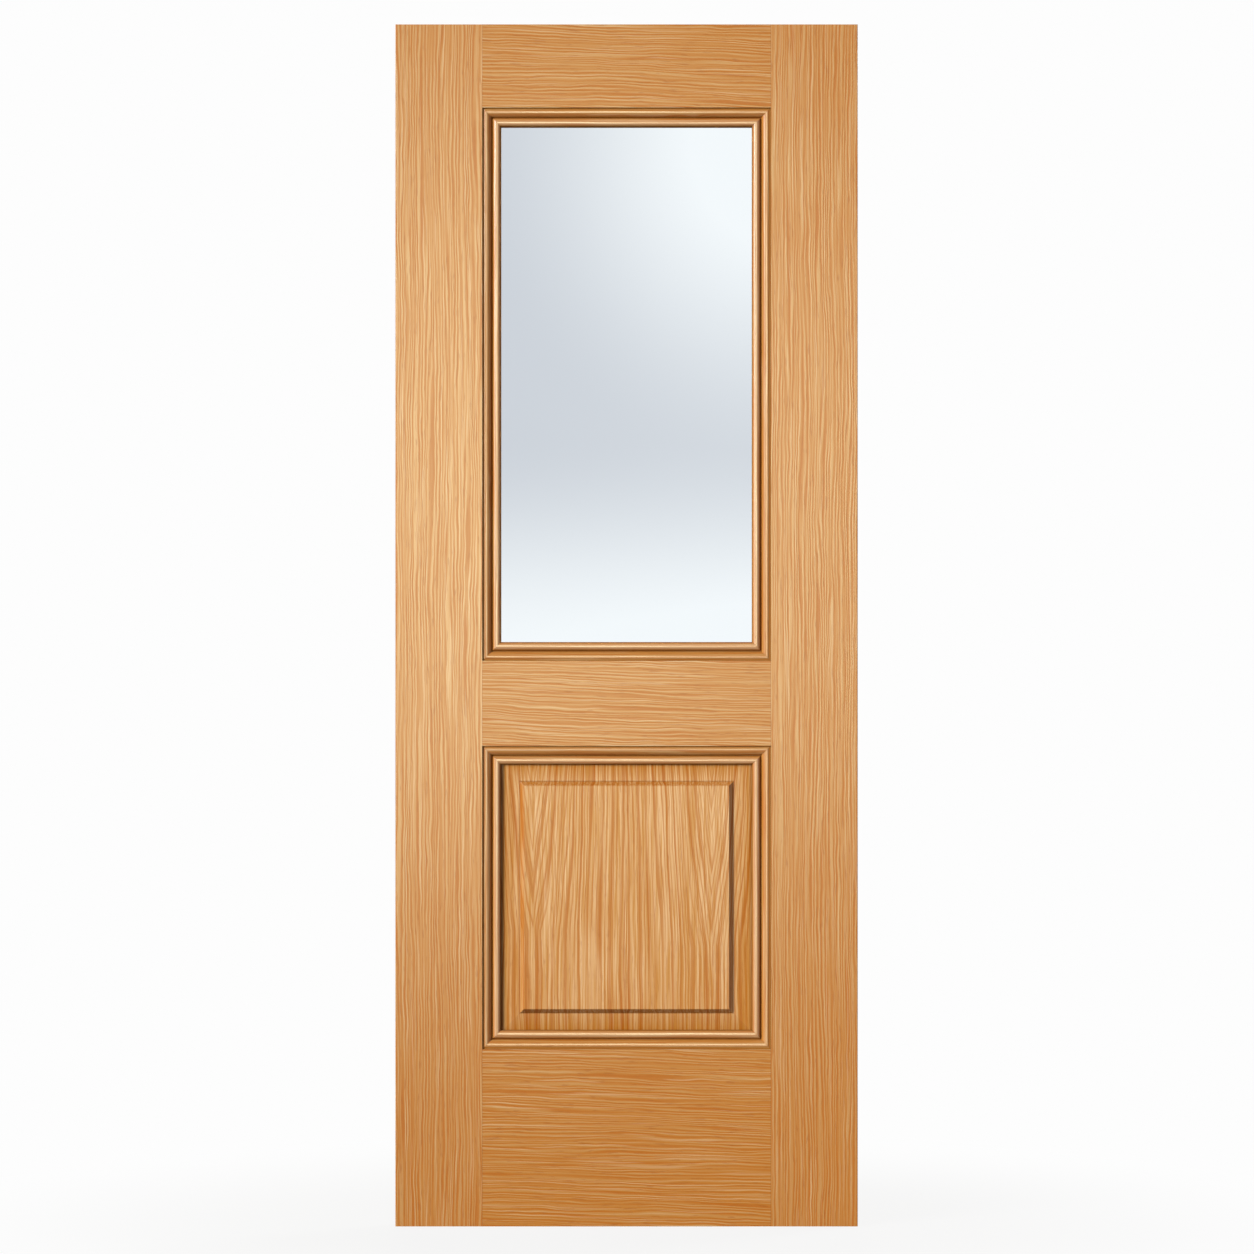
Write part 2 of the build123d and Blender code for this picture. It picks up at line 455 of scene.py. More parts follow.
# How much painted shade it takes to dull the lacquer, and how dull and how rough it then is
DULL_SHADE = 0.20
DULL_SHEEN = 0.05
ROUGH_SHADE = (0.1, 0.5)
UNRUBBED_ROUGHNESS = 0.75

from_bead = how_far(mould, across_run, BEAD_CREST)
from_roll = how_far(mould, across_run, ROLL_CREST)
from_roll = add(mould, "Math", (from_roll, ROLL_SHORTFALL), operation="ADD")
from_crest = add(mould, "Math", (from_bead, from_roll), operation="MINIMUM")
# Painted highlight: the crests are mixed towards cream, partly as rubbed wear and partly for the
# light they catch
rub_and_highlight_share = add(mould, "MapRange", (from_crest, *RUB_AND_HIGHLIGHT_FADE, LEAST_RUB_AND_HIGHLIGHT, MOST_RUB_AND_HIGHLIGHT))
rubbed_and_highlit = add(mould, "Mix", {SHARE: rub_and_highlight_share, UNDER: toned_and_shaded_run.outputs[MIXED],
                            OVER: linear(RUB_AND_HIGHLIGHT_CREAM)}, data_type="RGBA")
polish = add(mould, "MapRange", (from_crest, *POLISH_FADE, LEAST_POLISH, 1.0))
dull = add(mould, "MapRange", (painted_shade, 0.0, DULL_SHADE, 1.0, DULL_SHEEN))
run_sheen = add(mould, "Math", (polish, dull), operation="MULTIPLY")
lacquer(mould, mould_shader, rubbed_and_highlit.outputs[MIXED], run_relief, depth_mm=RUN_RELIEF,
        sheen=run_sheen)
unrubbed = add(mould, "MapRange", (painted_shade, *ROUGH_SHADE, LACQUER_ROUGHNESS, UNRUBBED_ROUGHNESS))
mould.links.new(unrubbed.outputs[0], mould_shader.inputs["Roughness"])
print("moulding oak:", moulding_oak.name)

# %% [markdown]
# ## Crown-cut veneer on the raised panel
#
# The panel wears the show veneer. It was sliced beside the heart of the log, so the growth
# rings meet the surface as narrow arches near both sides and as close upright lines between
# them. Rings are counted outwards from a heart, and the count also drops with height, most
# of all close to the heart, which closes each ring into an arch. Some way below the first
# arch the count stops dropping, and there the lines run straight. Late wood is the dark edge
# of a ring: it starts gently and ends sharply. Arches painted by hand would also do, but
# rings that are counted space themselves.

# %% Ring helpers
# How far aside of a heart the arches are twice as far apart, and how far below the first arch
# they end, in millimetres
HEART_SPREAD = 45.0
ARCH_REACH = 150.0

# The stretch of each ring, as a share of its width, over which late wood is at its darkest
DARKEST_FROM = 0.88
DARKEST_TO = 0.93

# The noise at which a ring is at its faintest and at its boldest, and how faint it gets
RING_FADE = (0.34, 0.58)
FAINTEST_RING = 0.25


def ring_count(tree, x, z, heart, tip, apart, ring_width):
    """Rings out from the first arch, whose tip is at one height, the next so far below it."""
    off = how_far(tree, x, heart)
    squared = add(tree, "Math", (off, off), operation="MULTIPLY")
    calm = add(tree, "Math", (squared, apart / HEART_SPREAD ** 2, apart), operation="MULTIPLY_ADD")
    below = add(tree, "Math", (tip, z), operation="SUBTRACT")
    below = add(tree, "Math", (below, ARCH_REACH), operation="MINIMUM")
    arch = add(tree, "Math", (below, calm), operation="DIVIDE")
    return add(tree, "Math", (off, 1 / ring_width, arch), operation="MULTIPLY_ADD")


def late_wood(tree, count, place, seed, start, most):
    """The dark edge of each ring, bolder on some rings and in some places than in others."""
    within = add(tree, "Math", (count,), operation="FRACT")
    rise = add(tree, "MapRange", (within, start, DARKEST_FROM), interpolation_type="SMOOTHSTEP")
    fall = add(tree, "MapRange", (within, 1.0, DARKEST_TO), interpolation_type="SMOOTHSTEP")
    number = add(tree, "Math", (count,), operation="FLOOR")
    along = add(tree, "SeparateXYZ", (place,)).outputs["Z"]
    where = add(tree, "CombineXYZ", (number, 0.0, along))
    strength = fibres(tree, where, seed, width=2.7, length=240)
    bold = add(tree, "MapRange", (strength, *RING_FADE, most * FAINTEST_RING, most))
    band = add(tree, "Math", (rise, fall), operation="MULTIPLY")
    return add(tree, "Math", (band, bold), operation="MULTIPLY")


# %% Rings of the panel
# How many fine rings run in each broad one, and how many rings the count may drift by
FINE_RINGS = 2.83
RING_DRIFT = 0.6

panel_low, panel_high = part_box("raised_panel")
panel_middle = (panel_low + panel_high) / 2 * MM_PER_METRE

crown_veneer, crown, crown_shader, _ = new_material("lacquered_crown_cut_oak_veneer")
flat_place = board_place(crown, upright=True)
leaf_place = sway(crown, flat_place, seed=41.0, amount=3.2, width=40, length=150)
leaf_place = sway(crown, leaf_place, seed=42.0, amount=1.3, width=12, length=50)
grain_x, _, grain_z = add(crown, "SeparateXYZ", (leaf_place,)).outputs
left_rings = ring_count(crown, grain_x, grain_z, heart=panel_middle.x - 154.0,
                        tip=panel_middle.z + 95.0, apart=125.0, ring_width=16.5)
right_rings = ring_count(crown, grain_x, grain_z, heart=panel_middle.x + 141.0,
                         tip=panel_middle.z + 69.0, apart=100.0, ring_width=15.5)
rings = add(crown, "Math", (left_rings, right_rings), operation="MINIMUM")
wander = fibres(crown, leaf_place, seed=45.0, width=30, length=700)
drift = add(crown, "MapRange", (wander, 0.0, 1.0, -RING_DRIFT, RING_DRIFT), clamp=False)
rings = add(crown, "Math", (rings, drift), operation="ADD")
fine_rings = add(crown, "Math", (rings, FINE_RINGS), operation="MULTIPLY")
broad = late_wood(crown, rings, leaf_place, seed=46.0, start=0.64, most=0.92)
fine = late_wood(crown, fine_rings, leaf_place, seed=47.0, start=0.50, most=0.68)
late = add(crown, "Math", (broad, fine), operation="MAXIMUM")
print("panel middle:", [round(value) for value in panel_middle], "mm")

# %% Wood of the panel
FIELD_PALE = "#C89862"
FIELD_MID = "#B97E36"
LATE_WOOD = "#AA5E06"

# What each kind of mark adds, and the sums at which the wood is at its darkest and palest
CROWN_HAIR_SHARE = 0.55
CROWN_BAND_SHARE = 0.25
CROWN_CLOUD_SHARE = 0.20
BODY_FADE = (0.42, 0.60)

# The noise at which pores start and are full, and how strongly they are coloured
CROWN_PORE_FADE = (0.60, 0.72)
CROWN_PORE_STRENGTH = 0.35

hairs = fibres(crown, leaf_place, seed=48.0, width=2.4, length=120)
bands = fibres(crown, leaf_place, seed=43.0, width=5.5, length=260)
clouds = fibres(crown, leaf_place, seed=44.0, width=30, length=300)
body = add(crown, "Math", (clouds, CROWN_CLOUD_SHARE), operation="MULTIPLY")
body = add(crown, "Math", (bands, CROWN_BAND_SHARE, body), operation="MULTIPLY_ADD")
body = add(crown, "Math", (hairs, CROWN_HAIR_SHARE, body), operation="MULTIPLY_ADD")
body_share = add(crown, "MapRange", (body, *BODY_FADE))
body_colour = add(crown, "Mix", {SHARE: body_share, UNDER: linear(FIELD_MID),
                                 OVER: linear(FIELD_PALE)}, data_type="RGBA")
ringed = add(crown, "Mix", {SHARE: late, UNDER: body_colour.outputs[MIXED],
                            OVER: linear(LATE_WOOD)}, data_type="RGBA")
pores = fibres(crown, leaf_place, seed=49.0, width=1.6, length=22)
pore_share = add(crown, "MapRange", (pores, *CROWN_PORE_FADE, 0.0, CROWN_PORE_STRENGTH))
pored = add(crown, "Mix", {SHARE: pore_share, UNDER: ringed.outputs[MIXED],
                           OVER: linear(THREAD_BROWN)}, data_type="RGBA")
print("panel wood:", FIELD_MID, "to", FIELD_PALE, "with late wood", LATE_WOOD)

# %% [markdown]
# ## Painted shade round the field
#
# The sunk margin and the bevel are painted a shade deeper than the field, as painted shade of
# the recess. Darker brown is painted as painted shade on the bevel, more at its foot, and in
# the corner under the moulding, and most on the bevel below the field, which faces away from
# the lamps, with a little on the margin below it. All of it is placed by how far a point is
# past the rim of the field. Painting by hand would do as well, but it would have to be done
# again whenever the panel changed its size.

# %% Past the rim of the field
# From the panel's own edges to the rim of its field, in millimetres
FIELD_SIDE_INSET = 68.0
FIELD_END_INSET = 65.0

field_half_width = (panel_high.x - panel_low.x) / 2 * MM_PER_METRE - FIELD_SIDE_INSET
field_half_height = (panel_high.z - panel_low.z) / 2 * MM_PER_METRE - FIELD_END_INSET
sight_left = moulding_high.x * MM_PER_METRE
margin_width = panel_middle.x - field_half_width - sight_left

flat_x, _, flat_z = add(crown, "SeparateXYZ", (flat_place,)).outputs
from_x = how_far(crown, flat_x, panel_middle.x)
from_z = how_far(crown, flat_z, panel_middle.z)
past_x = add(crown, "Math", (from_x, field_half_width), operation="SUBTRACT")
past_z = add(crown, "Math", (from_z, field_half_height), operation="SUBTRACT")
past_rim = add(crown, "Math", (past_x, past_z), operation="MAXIMUM")
print(f"field {2 * field_half_width:.0f} x {2 * field_half_height:.0f} mm, "
      f"margin {margin_width:.0f} mm")

# %% Margin, bevel and corner
# Painted shade: the margin and the bevel are multiplied by this tone, a shade deeper than the
# field
MARGIN_SHADE = "#F8F0DA"
MARGIN_FADE = (0.0, 2.0)

# Places past the rim of the field, in millimetres
BEVEL_MIDDLE = 3.9
BEVEL_FOOT = 7.4

# Where each painted shade starts and where it is full, in millimetres, and how strong it gets
CORNER_FADE = (margin_width - 6.0, margin_width - 0.5)
CORNER_SHADE = 0.45
BEVEL_FADE = (4.4, 3.4)
BEVEL_SHADE = 0.12
FOOT_FADE = (2.2, 0.5)
FOOT_SHADE = 0.34
LOW_FADE = (4.8, 3.2)
LOW_MARGIN_SHADE = 0.10
LOW_BEVEL_SHADE = 0.52

margin = add(crown, "MapRange", (past_rim, *MARGIN_FADE))
margin_shaded = add(crown, "Mix", {SHARE: margin, UNDER: pored.outputs[MIXED],
                            OVER: linear(MARGIN_SHADE)}, data_type="RGBA", blend_type="MULTIPLY")
# Painted shade: dark brown in the corner under the moulding, on the bevel and its foot, and most
# on the bevel below the field
from_bevel = how_far(crown, past_rim, BEVEL_MIDDLE)
from_foot = how_far(crown, past_rim, BEVEL_FOOT)
corner_shade = add(crown, "MapRange", (past_rim, *CORNER_FADE, 0.0, CORNER_SHADE))
bevel_shade = add(crown, "MapRange", (from_bevel, *BEVEL_FADE, 0.0, BEVEL_SHADE))
foot_shade = add(crown, "MapRange", (from_foot, *FOOT_FADE, 0.0, FOOT_SHADE))
low_shade = add(crown, "MapRange", (from_bevel, *LOW_FADE, LOW_MARGIN_SHADE, LOW_BEVEL_SHADE))
low_half = add(crown, "Math", (flat_z, panel_middle.z), operation="LESS_THAN")
level_side = add(crown, "Math", (past_z, past_x), operation="GREATER_THAN")
low_side = add(crown, "Math", (low_half, level_side), operation="MULTIPLY")
low_side = add(crown, "Math", (low_side, margin), operation="MULTIPLY")
low_shade = add(crown, "Math", (low_shade, low_side), operation="MULTIPLY")
rim_shade = corner_shade
for more_shade in (bevel_shade, foot_shade, low_shade):
    rim_shade = add(crown, "Math", (rim_shade, more_shade), operation="MAXIMUM")
shaded_panel = add(crown, "Mix", {SHARE: rim_shade, UNDER: margin_shaded.outputs[MIXED],
                                   OVER: linear(STAIN_AND_SHADE_BROWN)}, data_type="RGBA")
print("panel stain from", [round(start, 1) for start in CORNER_FADE], "mm past the rim")

# %% Lacquer on the panel
# The field mirrors more than the far margin, and the sheen fades between these two places
FIELD_SHEEN = 0.42
CORNER_SHEEN = 0.05
SHEEN_FADE = (8.0, margin_width - 4.0)

# How far late wood sinks into the relief, how deep the relief is in millimetres, and by what
# share it changes the sheen
LATE_SINK = 0.40
CROWN_RELIEF = 0.10
CROWN_SPREAD = 0.48

crown_relief = add(crown, "Math", (late, -LATE_SINK, body), operation="MULTIPLY_ADD")
crown_sheen = add(crown, "MapRange", (past_rim, *SHEEN_FADE, FIELD_SHEEN, CORNER_SHEEN))
lacquer(crown, crown_shader, shaded_panel.outputs[MIXED], crown_relief, depth_mm=CROWN_RELIEF,
        sheen=crown_sheen, spread=CROWN_SPREAD)
print("panel veneer:", crown_veneer.name)

# %% [markdown]
# ## The core
#
# Inside, the leaf is a softwood core glued up from strips. It shows on the top and bottom
# edges, where the stiles give end grain and the rails give long grain, and in the walls of the
# quirks. Each strip gets its own tone and its own rings, with a darker glue line between
# strips. More than a few millimetres from the top and bottom edges the core is painted dark
# brown as painted shade. Strips cut apart in the mesh would look the same, for many more
# pieces that nobody sees.

# %% Softwood core
PINE_PALE = "#D9B988"
PINE_DARK = "#B48A54"
PINE_SHADE = "#D8C2A0"
SAWN_ROUGHNESS = 0.75
STRIP_WIDTH = 34.0
RING_SPACING = 3.5

# A strip's rings bend round a heart this far off, in millimetres, and up to so much further
HEART_BELOW = 20.0
HEART_RANGE = 60.0

# Shares of a ring, and of a strip from its middle, over which dark wood and glue set in
DARK_FADE = (0.3, 1.0)
STRIP_MIDDLE = 0.5
STRIP_GLUE_FADE = (0.48, 0.492)
STRIP_GLUE = 0.6
MOST_SHADE = 0.35

# How far in from the leaf's top or bottom edge, in metres, the painted shade starts and is full
SHADE_STARTS = 0.001
SHADE_FULL = 0.003


def softwood(name, upright):
    """Glued softwood strips, seen on their ends when upright and along the grain if not."""
    material, tree, shader, _ = new_material(name)
    place = board_place(tree, upright)
    axes = add(tree, "SeparateXYZ", (place,)).outputs
    strips = add(tree, "Math", (axes["X"], STRIP_WIDTH), operation="DIVIDE")
    number = add(tree, "Math", (strips,), operation="FLOOR")
    within = add(tree, "Math", (strips,), operation="FRACT")
    own = add(tree, "TexWhiteNoise", {"W": number}, noise_dimensions="1D")
    if upright:
        drop = add(tree, "Math", (own, HEART_RANGE, HEART_BELOW), operation="MULTIPLY_ADD")
        down = add(tree, "Math", (axes["Y"], drop), operation="ADD")
        down = add(tree, "Math", (down, down), operation="MULTIPLY")
        away = add(tree, "Math", (within, own), operation="SUBTRACT")
        away = add(tree, "Math", (away, STRIP_WIDTH), operation="MULTIPLY")
        squares = add(tree, "Math", (away, away, down), operation="MULTIPLY_ADD")
        radius = add(tree, "Math", (squares,), operation="SQRT")
        rings = add(tree, "Math", (radius, RING_SPACING), operation="DIVIDE")
        figure = add(tree, "Math", (rings,), operation="FRACT")
    else:
        figure = fibres(tree, place, seed=71.0, width=RING_SPACING, length=400, detail=2.0)
    share = add(tree, "MapRange", (figure, *DARK_FADE), interpolation_type="SMOOTHSTEP")
    ringed = add(tree, "Mix", {SHARE: share, UNDER: linear(PINE_PALE),
                               OVER: linear(PINE_DARK)}, data_type="RGBA")
    dimness = add(tree, "Math", (own, MOST_SHADE), operation="MULTIPLY")
    toned = add(tree, "Mix", {SHARE: dimness, UNDER: ringed.outputs[MIXED],
                              OVER: linear(PINE_SHADE)}, data_type="RGBA", blend_type="MULTIPLY")
    from_centre = how_far(tree, within, STRIP_MIDDLE)
    glue = add(tree, "MapRange", (from_centre, *STRIP_GLUE_FADE, 0.0, STRIP_GLUE))
    glued = add(tree, "Mix", {SHARE: glue, UNDER: toned.outputs[MIXED],
                              OVER: linear(GLUE_BROWN)}, data_type="RGBA")
    # Painted shade: away from the leaf's top and bottom edges, where the core shows only in the
    # quirks, it is painted dark brown
    height = add(tree, "SeparateXYZ", (add(tree, "TexCoord").outputs["Object"],)).outputs["Z"]
    half_height = leaf_height / 2
    to_middle = how_far(tree, height, half_height)
    core_shade = add(tree, "MapRange", (to_middle, half_height - SHADE_STARTS,
                                    half_height - SHADE_FULL))
    core_shaded = add(tree, "Mix", {SHARE: core_shade, UNDER: glued.outputs[MIXED],
                                OVER: linear(STAIN_AND_SHADE_BROWN)}, data_type="RGBA")
    tree.links.new(core_shaded.outputs[MIXED], shader.inputs["Base Color"])
    shader.inputs["Roughness"].default_value = SAWN_ROUGHNESS
    return material


core_ends = softwood("sawn_pine_end_grain", upright=True)
core_lengths = softwood("planed_pine_long_grain", upright=False)
print("core:", core_ends.name, core_lengths.name)

# %% [markdown]
# ## Float glass
#
# The pane is 4 mm clear float glass. It is a real transmitting glass of index 1.52 with the
# faint green that iron gives it. A thin sheet mixed with transparency would render faster,
# but it would lose the bright line at the edge and the mirror of the room.

# %% Glass
IRON_GREEN = "#FBFDFC"
GLASS_INDEX = 1.52
float_glass, _, glass_shader, _ = new_material("clear_float_glass")
glass_shader.inputs["Base Color"].default_value = linear(IRON_GREEN)
glass_shader.inputs["Roughness"].default_value = 0.0
glass_shader.inputs["IOR"].default_value = GLASS_INDEX
glass_shader.inputs["Transmission Weight"].default_value = 1.0
print("glass:", float_glass.name)

# %% [markdown]
# ## Finishes on the pieces that stay
#
# The flat pieces keep their shape from the frame and only take a finish: veneers, lippings,
# cores and the pane. Each name says what the piece is, so its ending picks the finish. Each
# could be painted by hand in the outliner, but a rule by name misses none.

# %% Paint the flat pieces
finishes = {
    "stile_veneer": stile_oak,
    "rail_veneer": rail_oak,
    "lipping": lipping_oak,
    "stile_core": core_ends,
    "rail_core": core_lengths,
    "glass_pane": float_glass,
}
for ending, finish in finishes.items():
    matching = [node for name, node in nodes.items() if name.endswith(ending)]
    for node in matching:
        paint(node, finish)
    print(ending, len(matching))

# %% [markdown]
# ## Mouldings and panel with eased arrises
#
# A cutter and a pass of sandpaper leave no edge truly sharp: every arris and mitre on the
# real leaf catches a thread of light. The frame's own shapes have knife edges and flat
# facets, so each moulding and the panel is copied, its loose triangles are merged, and its
# sharp edges are rounded by a fraction of a millimetre. Normals weighted by face area keep
# the broad faces flat beside the narrow rounded ones. Modelling the pieces again from a
# profile would give the same shape with more work.

# %% Ease the arrises
# Corners nearer than this, in metres, become one, faces flatter than one angle become one,
# and edges sharper than the other are arrises
MERGE_DISTANCE = 0.00001
FLAT_ANGLE = math.radians(0.5)
ARRIS_ANGLE = math.radians(38)

# How wide the rounding of an arris is, in millimetres
PANEL_ARRIS = 0.5
MOULDING_ARRIS = 0.3


def eased(node_name, arris_mm, material):
    """A copy of a node with merged faces and rounded arrises, standing in for it."""
    bpy.ops.object.select_all(action="DESELECT")
    piece = bpy.data.objects.new(f"{node_name}_eased", nodes[node_name].data.copy())
    bpy.context.scene.collection.objects.link(piece)
    bpy.context.view_layer.objects.active = piece
    piece.select_set(True)
    bpy.ops.object.mode_set(mode="EDIT")
    bpy.ops.mesh.select_all(action="SELECT")
    bpy.ops.mesh.remove_doubles(threshold=MERGE_DISTANCE)
    bpy.ops.mesh.dissolve_limited(angle_limit=FLAT_ANGLE)
    bpy.ops.object.mode_set(mode="OBJECT")
    bevel = piece.modifiers.new("arris", "BEVEL")
    bevel.width = arris_mm / MM_PER_METRE
    bevel.segments = 2
    bevel.limit_method = "ANGLE"
    bevel.angle_limit = ARRIS_ANGLE
    bpy.ops.object.modifier_apply(modifier=bevel.name)
    bpy.ops.object.shade_smooth_by_angle(angle=ARRIS_ANGLE)
    flat_faces = piece.modifiers.new("flat_faces", "WEIGHTED_NORMAL")
    flat_faces.keep_sharp = True
    bpy.ops.object.modifier_apply(modifier=flat_faces.name)
    paint(piece, material)
    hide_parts(node_name)
    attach(piece, "root")
    return piece


panel = eased("raised_panel", PANEL_ARRIS, crown_veneer)
print("panel faces:", len(panel.data.polygons))

# %% [markdown]
# ## Mouldings and the run of their grain
#
# Each moulding gets the UV map that its finish reads. One number is the distance from the
# edge of the opening, the other the distance along the length, with a step added so that no
# two lengths share the same stretch of grain. Unwrapping in the editor would do this too,
# but not to scale.

# %% Mouldings
# Each length reads the grain this much further along than the one before it, in metres
GRAIN_STEP = 0.37


def lay_run(piece, node_name, step):
    """Write how far each corner is across and along its moulding, in metres."""
    side = node_name.split("_")[-1]
    across_axis = 0 if side in ("left", "right") else 2
    low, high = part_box(node_name)
    outer = low if side in ("left", "bottom") else high
    run_map = piece.data.uv_layers.new(name="run")
    for loop in piece.data.loops:
        point = piece.data.vertices[loop.vertex_index].co
        inward = abs(point[across_axis] - outer[across_axis])
        run_map.data[loop.index].uv = (inward, point[2 - across_axis] + step)


mouldings = [name for name in nodes if "_glass_bead_" in name or "_panel_mould_" in name]
for order, name in enumerate(mouldings):
    piece = eased(name, MOULDING_ARRIS, moulding_oak)
    lay_run(piece, name, order * GRAIN_STEP)
print(len(mouldings), "mouldings, the last with", len(piece.data.polygons), "faces")

# %% [markdown]
# ## The surround
#
# The picture's background is plain white. The world is white to the camera and in every
# reflection. It lights the leaf at a low level, so that the mouldings keep their shadows, and
# a little warm, as light does that has already met the oak.
# Through the pane the room shows as a cool grey that brightens towards the floor and the
# upper right, as glass does in front of a lit studio wall. A painted card behind the pane
# would show the same, but it would stand in the way of the back.

# %% Room behind the glass
ROOM_GREY = "#CDD2DB"
ROOM_WHITE = "#F7FBFF"

# Looks are measured by how far they climb or turn aside for each metre straight ahead
LEAST_AHEAD = 0.2
LOW_GLOW_FADE = (0.042, -0.008)
HIGH_GLOW_PLACE = (0.034, 0.106, 0.0)
HIGH_GLOW_FADE = (0.072, 0.004)
SIDE_FADE = (-0.04, 0.04)
SIDE_GLOW = 0.18

scene = bpy.context.scene
scene.view_settings.view_transform = "Standard"
world = bpy.data.worlds.new("studio_surround")
scene.world = world
world.use_nodes = True
sky = world.node_tree
sky.nodes.clear()

look = add(sky, "SeparateXYZ", (add(sky, "TexCoord").outputs["Generated"],)).outputs
ahead = add(sky, "Math", (look["Y"],), operation="ABSOLUTE")
ahead = add(sky, "Math", (ahead, LEAST_AHEAD), operation="MAXIMUM")
climb = add(sky, "Math", (look["Z"], ahead), operation="DIVIDE")
aside = add(sky, "Math", (look["X"], ahead), operation="DIVIDE")
low_glow = add(sky, "MapRange", (climb, *LOW_GLOW_FADE), interpolation_type="SMOOTHSTEP")
look_place = add(sky, "CombineXYZ", (aside, climb))
from_glow = add(sky, "VectorMath", (look_place, HIGH_GLOW_PLACE), operation="DISTANCE")
high_glow = add(sky, "MapRange", (from_glow.outputs["Value"], *HIGH_GLOW_FADE),
                interpolation_type="SMOOTHSTEP")
glow = add(sky, "Math", (low_glow, high_glow), operation="MAXIMUM")
side_glow = add(sky, "MapRange", (aside, *SIDE_FADE, 0.0, SIDE_GLOW),
                interpolation_type="SMOOTHSTEP")
glow = add(sky, "Math", (glow, side_glow), operation="ADD")
room = add(sky, "Mix", {SHARE: glow, UNDER: linear(ROOM_GREY), OVER: linear(ROOM_WHITE)},
           data_type="RGBA")
print("room from", ROOM_GREY, "to", ROOM_WHITE)

# %% World
AMBIENT = 0.16
WHITE = "#FDFDFD"
BOUNCE = "#FFE2BE"

rays = add(sky, "LightPath").outputs
seen = add(sky, "Math", (rays["Is Camera Ray"], rays["Is Glossy Ray"]), operation="MAXIMUM")
seen = add(sky, "Math", (seen, rays["Is Transmission Ray"]), operation="MAXIMUM")
strength = add(sky, "MapRange", (seen, 0.0, 1.0, AMBIENT, 1.0))
plain = add(sky, "Mix", {SHARE: seen, UNDER: linear(BOUNCE), OVER: linear(WHITE)},
            data_type="RGBA")
backdrop_colour = add(sky, "Mix", {SHARE: rays["Is Transmission Ray"],
                                   UNDER: plain.outputs[MIXED],
                                   OVER: room.outputs[MIXED]}, data_type="RGBA")
backdrop = add(sky, "Background", (backdrop_colour.outputs[MIXED], strength))
add(sky, "OutputWorld", (backdrop,))
print("world:", world.name)

# %% [markdown]
# ## Lamps
#
# A key lamp to the left and a little above rakes the uprights and lays a bright thread along
# their beads. A weaker lamp from the upper left does the same for the level mouldings. A wide
# soft box in front of the leaf is what the lacquer mirrors as a pale warm haze on the upper
# half. It shows in mirrored rays only, since as a plain light it would flatten the mouldings
# from the front. The same set stands behind the leaf, with its two sun lamps a little weaker,
# so that the back reads as well as the front. The pane would show the soft boxes as hard
# bright ellipses, so they leave it out by light linking.

# %% Lamp helper
all_but_glass = bpy.data.collections.new("lit_by_soft_boxes")
all_but_glass.objects.link(nodes["glass_pane"])
all_but_glass.collection_objects[0].light_linking.link_state = "EXCLUDE"


def add_lamp(name, kind, location, direction, energy):
    """A lamp that neither the camera nor the pane shows."""
    data = bpy.data.lights.new(name, kind)
    data.energy = energy
    lamp = bpy.data.objects.new(name, data)
    scene.collection.objects.link(lamp)
    lamp.location = location
    lamp.rotation_euler = direction.to_track_quat("-Z", "Y").to_euler()
    lamp.visible_camera = False
    lamp.visible_transmission = False
    return lamp


# %% Lamps in front and behind
# The front set, in metres. A direction needs no set length, and the place of a sun lamp only
# shows where it would stand
KEY_PLACE = Vector((-3, -3, 3))
KEY_DIRECTION = Vector((1.35, 1, -0.45))
KEY_STRENGTH = 3.52
TOP_PLACE = Vector((0, -3, 5))
TOP_DIRECTION = Vector((0.9, 1, -0.9))
TOP_STRENGTH = 1.2
SUN_ANGLE = math.radians(16)
SOFTBOX_PLACE = Vector((0.13, -5, 1.37))
SOFTBOX_DIRECTION = Vector((0.1, 1, -0.03))
SOFTBOX_WATTS = 121
SOFTBOX_WIDTH = 2.0
SOFTBOX_HEIGHT = 2.3
SOFTBOX_WARMTH = "#FFFCD2"
BACK_LEVEL = 0.8

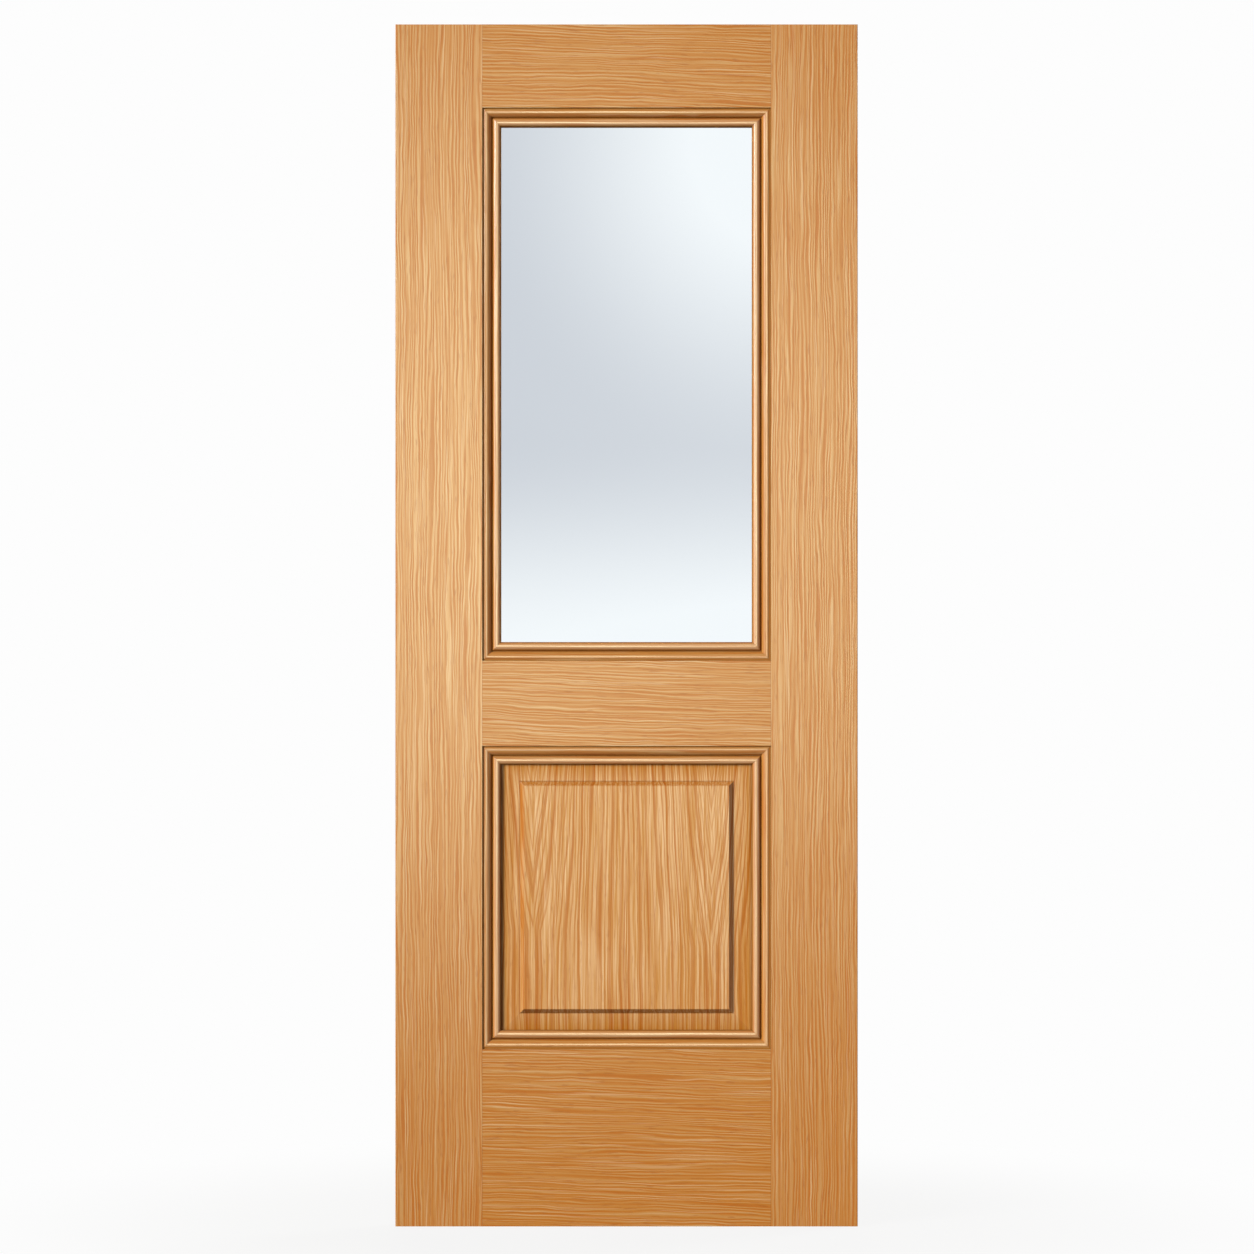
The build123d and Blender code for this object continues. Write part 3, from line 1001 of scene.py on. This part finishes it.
# Behind the leaf the two suns are turned half a circle, and the soft box is mirrored
for side, facing, level in (("front", 1, 1.0), ("back", -1, BACK_LEVEL)):
    turned = Vector((facing, facing, 1))
    mirrored = Vector((1, facing, 1))
    key = add_lamp(f"{side}_key", "SUN", KEY_PLACE * turned, KEY_DIRECTION * turned,
                   KEY_STRENGTH * level)
    key.data.angle = SUN_ANGLE
    top = add_lamp(f"{side}_top_light", "SUN", TOP_PLACE * turned, TOP_DIRECTION * turned,
                   TOP_STRENGTH * level)
    top.data.angle = SUN_ANGLE
    softbox = add_lamp(f"{side}_softbox", "AREA", SOFTBOX_PLACE * mirrored,
                       SOFTBOX_DIRECTION * mirrored, SOFTBOX_WATTS)
    softbox.data.shape = "ELLIPSE"
    softbox.data.size = SOFTBOX_WIDTH
    softbox.data.size_y = SOFTBOX_HEIGHT
    softbox.data.color = linear(SOFTBOX_WARMTH)[:3]
    softbox.visible_diffuse = False
    softbox.light_linking.receiver_collection = all_but_glass

# %% [markdown]
# ## The floor
#
# A wide pale floor carries the leaf's shadow. To the camera it is the same white as the
# background, except for a soft patch round the leaf where a tenth of its own grey paint, lit
# by the lamps, comes through and keeps the shadow. A floor that catches shadows and nothing
# else would do too, but then the pane and the lacquer would have no floor to mirror.

# %% Floor
FLOOR_GREY = "#8C8C8C"
FLOOR_ROUGHNESS = 0.9
FLOOR_SIZE = 40

# From so near the leaf's foot to so far, in metres, the white grows from this share to all
PATCH_FADE = (0.4, 1.3)
PATCH_WHITE = 0.90

bpy.ops.object.select_all(action="DESELECT")
bpy.ops.mesh.primitive_plane_add(size=FLOOR_SIZE, location=(0, 0, 0))
floor = bpy.context.active_object
floor.name = "studio_floor"
floor_paint, ground, ground_shader, ground_output = new_material("pale_floor_paint")
ground_shader.inputs["Base Color"].default_value = linear(FLOOR_GREY)
ground_shader.inputs["Roughness"].default_value = FLOOR_ROUGHNESS
ground_rays = add(ground, "LightPath").outputs
floor_seen = add(ground, "Math", (ground_rays["Is Camera Ray"], ground_rays["Is Glossy Ray"]),
                 operation="MAXIMUM")
floor_seen = add(ground, "Math", (floor_seen, ground_rays["Is Transmission Ray"]),
                 operation="MAXIMUM")
ground_spot = add(ground, "TexCoord").outputs["Object"]
leaf_foot = (leaf_width / 2, 0.0, 0.0)
reach = add(ground, "VectorMath", (ground_spot, leaf_foot), operation="DISTANCE")
white_share = add(ground, "MapRange", (reach.outputs["Value"], *PATCH_FADE, PATCH_WHITE, 1.0),
                  interpolation_type="SMOOTHSTEP")
white_share = add(ground, "Math", (white_share, floor_seen), operation="MULTIPLY")
white_glow = add(ground, "Emission", {"Color": linear(WHITE), "Strength": 1.0})
mixed = add(ground, "MixShader", (white_share, ground_shader, white_glow))
ground.links.new(mixed.outputs[0], ground_output.inputs["Surface"])
paint(floor, floor_paint)
print("floor:", floor.name)
